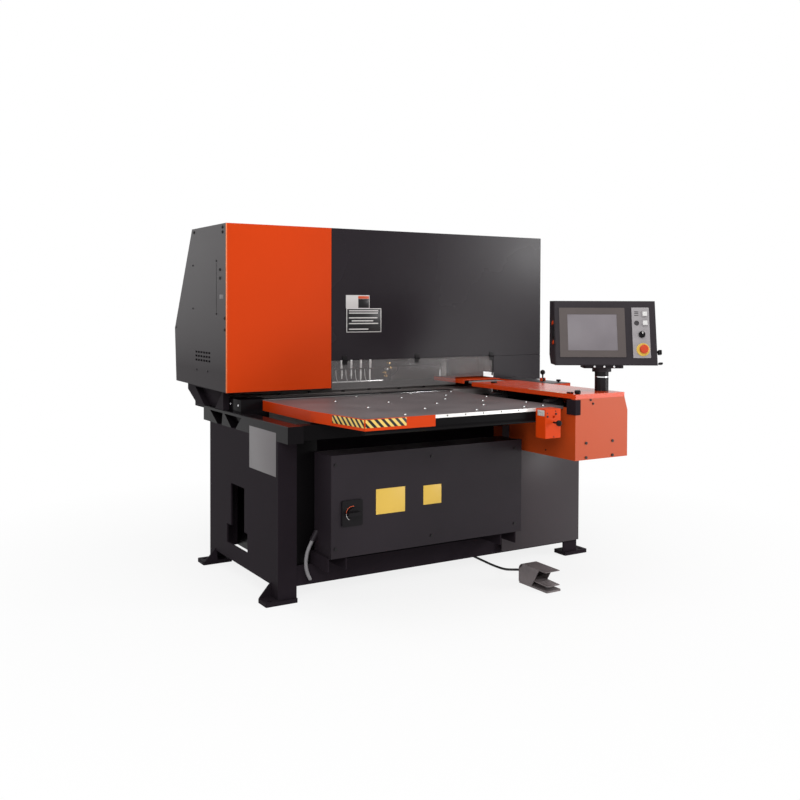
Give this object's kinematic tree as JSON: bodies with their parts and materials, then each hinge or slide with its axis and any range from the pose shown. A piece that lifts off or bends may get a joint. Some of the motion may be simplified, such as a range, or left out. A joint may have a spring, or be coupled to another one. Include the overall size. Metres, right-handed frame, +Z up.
{
  "type": "sheet metal tapping machine",
  "caption": "Numerically controlled tapping machine for sheet metal, with a hooded bridge, ball table, sheet clamps, swivelling pendant, cabinet and foot switch.",
  "frame": {"origin": "centre of the four anchor bolt holes, on the floor", "axes": "+X to the operator's right, +Y to the rear, +Z up"},
  "size_m": [1.904, 1.8584, 1.65],
  "materials": {
    "orange_paint": "satin orange-red powder coat",
    "black_paint": "satin charcoal black powder coat",
    "bright_steel": "ground bright steel",
    "grey_steel": "worn mid grey steel",
    "polished_steel": "polished",
    "clear_sheet": "clear polished sheet",
    "pendant_plastic": "fine textured black",
    "screen_plastic": "black bezel and dark glass",
    "key_plate": "satin grey",
    "white_plastic": "white translucent",
    "black_plastic": "moulded black",
    "red_plastic": "moulded red",
    "switch_metal": "dark grey-brown enamel",
    "black_rubber": "black sheath",
    "grey_conduit": "grey corrugated conduit"
  },
  "bodies": {
    "machine": {"orange_cover": "orange_paint", "table_rail": "orange_paint", "gauge_box": "orange_paint", "y_housing": "orange_paint", "y_top_plates": "orange_paint", "shelf": "orange_paint", "left_stand": "black_paint", "right_stand": "black_paint", "front_skirt": "black_paint", "rear_panel": "black_paint", "side_beams": "black_paint", "bridge_plates": "black_paint", "bridge_beam": "black_paint", "hood_sides": "black_paint", "hood_shell": "black_paint", "front_covers": "black_paint", "hinge_leaves": "black_paint", "table_underframe": "black_paint", "slot_bracket": "black_paint", "y_base": "black_paint", "cabinet_box": "black_paint", "cabinet_cover": "black_paint", "guide_rails": "bright_steel", "front_strip": "bright_steel", "pendant_post": "bright_steel", "cover_screws": "bright_steel", "anvil_beam": "grey_steel", "table_plate": "grey_steel", "ball_units": "polished_steel", "switch_plate": "black_plastic", "foot_base": "switch_metal", "foot_cord": "black_rubber", "conduit": "grey_conduit"},
    "head": {"head_carriage": "black_paint"},
    "quill_1": {"quill_1": "bright_steel"},
    "quill_2": {"quill_2": "bright_steel"},
    "quill_3": {"quill_3": "bright_steel"},
    "quill_4": {"quill_4": "bright_steel"},
    "tap_1": {"tap_1": "bright_steel"},
    "tap_2": {"tap_2": "bright_steel"},
    "tap_3": {"tap_3": "bright_steel"},
    "tap_4": {"tap_4": "bright_steel"},
    "clamps": {"clamp_carriage": "bright_steel"},
    "jaw_1": {"clamp_jaw_1": "bright_steel"},
    "jaw_2": {"clamp_jaw_2": "bright_steel"},
    "window": {"window": "clear_sheet", "window_leaves": "black_paint"},
    "pendant": {"pendant_case": "pendant_plastic", "pendant_front": "pendant_plastic", "screen": "screen_plastic", "button_plate": "key_plate"},
    "key_1": {"button_1": "white_plastic"},
    "key_2": {"button_2": "white_plastic"},
    "selector": {"selector_knob": "black_plastic"},
    "e_stop": {"e_stop_cap": "red_plastic"},
    "gauge_knob": {"gauge_knob": "black_plastic"},
    "shelf_lever": {"shelf_lever": "black_plastic"},
    "stop_knob": {"stop_knob": "black_plastic"},
    "main_switch": {"switch_handle": "black_plastic"},
    "pedal": {"foot_pedal": "switch_metal"}
  },
  "joints": [
    {"name": "head_traverse", "type": "slide", "parent": "machine", "child": "head", "axis": [1, 0, 0], "range_m": [-0.48, 0.45]},
    {"name": "clamp_traverse", "type": "slide", "parent": "machine", "child": "clamps", "axis": [0, 1, 0], "range_m": [-0.14, 0.29]},
    {"name": "window_lift", "type": "hinge", "parent": "machine", "child": "window", "pos_m": [0.186, 0.1005, 0.994], "axis": [-1, 0, 0], "range_deg": [0, 100]},
    {"name": "pendant_swivel", "type": "hinge", "parent": "machine", "child": "pendant", "pos_m": [0.64, -0.79, 0.98], "axis": [0, 0, 1], "range_deg": [-60, 60]},
    {"name": "gauge_pull", "type": "slide", "parent": "machine", "child": "gauge_knob", "axis": [0, -1, 0], "range_m": [0, 0.015]},
    {"name": "shelf_lever_tilt", "type": "hinge", "parent": "machine", "child": "shelf_lever", "pos_m": [0.795, -0.179, 0.88], "axis": [1, 0, 0], "range_deg": [-25, 25]},
    {"name": "stop_knob_turn", "type": "hinge", "parent": "machine", "child": "stop_knob", "pos_m": [0.412, -0.88, 0.875], "axis": [0, 0, 1], "continuous": true},
    {"name": "main_switch_turn", "type": "hinge", "parent": "machine", "child": "main_switch", "pos_m": [-0.568, -0.575, 0.393], "axis": [0, -1, 0], "range_deg": [0, 90]},
    {"name": "pedal_press", "type": "hinge", "parent": "machine", "child": "pedal", "pos_m": [0.293, -0.742, 0.03], "axis": [1, 0, 0], "range_deg": [0, 7], "stiffness_Nm_per_rad": 4, "springref_deg": -8.59},
    {"name": "selector_turn", "type": "hinge", "parent": "pendant", "child": "selector", "pos_m": [0.73643, -0.94707, 1.13851], "axis": [-0.508, -0.8355, 0.2095], "range_deg": [-45, 45]},
    {"name": "e_stop_push", "type": "slide", "parent": "pendant", "child": "e_stop", "axis": [0.508, 0.8355, -0.2095], "range_m": [0, 0.004]},
    {"name": "key_1_push", "type": "slide", "parent": "pendant", "child": "key_1", "axis": [0.508, 0.8355, -0.2095], "range_m": [0, 0.003], "stiffness_N_per_m": 300},
    {"name": "key_2_push", "type": "slide", "parent": "pendant", "child": "key_2", "axis": [0.508, 0.8355, -0.2095], "range_m": [0, 0.003], "stiffness_N_per_m": 300},
    {"name": "jaw_1_clamp", "type": "hinge", "parent": "clamps", "child": "jaw_1", "pos_m": [0.452, -0.276, 0.835], "axis": [0, 1, 0], "range_deg": [-2.5, 6]},
    {"name": "jaw_2_clamp", "type": "hinge", "parent": "clamps", "child": "jaw_2", "pos_m": [0.452, -0.692, 0.835], "axis": [0, 1, 0], "range_deg": [-2.5, 6]},
    {"name": "quill_1_feed", "type": "slide", "parent": "head", "child": "quill_1", "axis": [0, 0, -1], "range_m": [0, 0.055]},
    {"name": "tap_1_spin", "type": "hinge", "parent": "quill_1", "child": "tap_1", "pos_m": [-0.192, 0.23, 0.9], "axis": [0, 0, 1], "continuous": true},
    {"name": "quill_2_feed", "type": "slide", "parent": "head", "child": "quill_2", "axis": [0, 0, -1], "range_m": [0, 0.055]},
    {"name": "tap_2_spin", "type": "hinge", "parent": "quill_2", "child": "tap_2", "pos_m": [-0.137, 0.23, 0.9], "axis": [0, 0, 1], "continuous": true},
    {"name": "quill_3_feed", "type": "slide", "parent": "head", "child": "quill_3", "axis": [0, 0, -1], "range_m": [0, 0.055]},
    {"name": "tap_3_spin", "type": "hinge", "parent": "quill_3", "child": "tap_3", "pos_m": [-0.082, 0.23, 0.9], "axis": [0, 0, 1], "continuous": true},
    {"name": "quill_4_feed", "type": "slide", "parent": "head", "child": "quill_4", "axis": [0, 0, -1], "range_m": [0, 0.055]},
    {"name": "tap_4_spin", "type": "hinge", "parent": "quill_4", "child": "tap_4", "pos_m": [-0.027, 0.23, 0.9], "axis": [0, 0, 1], "continuous": true}
  ]
}
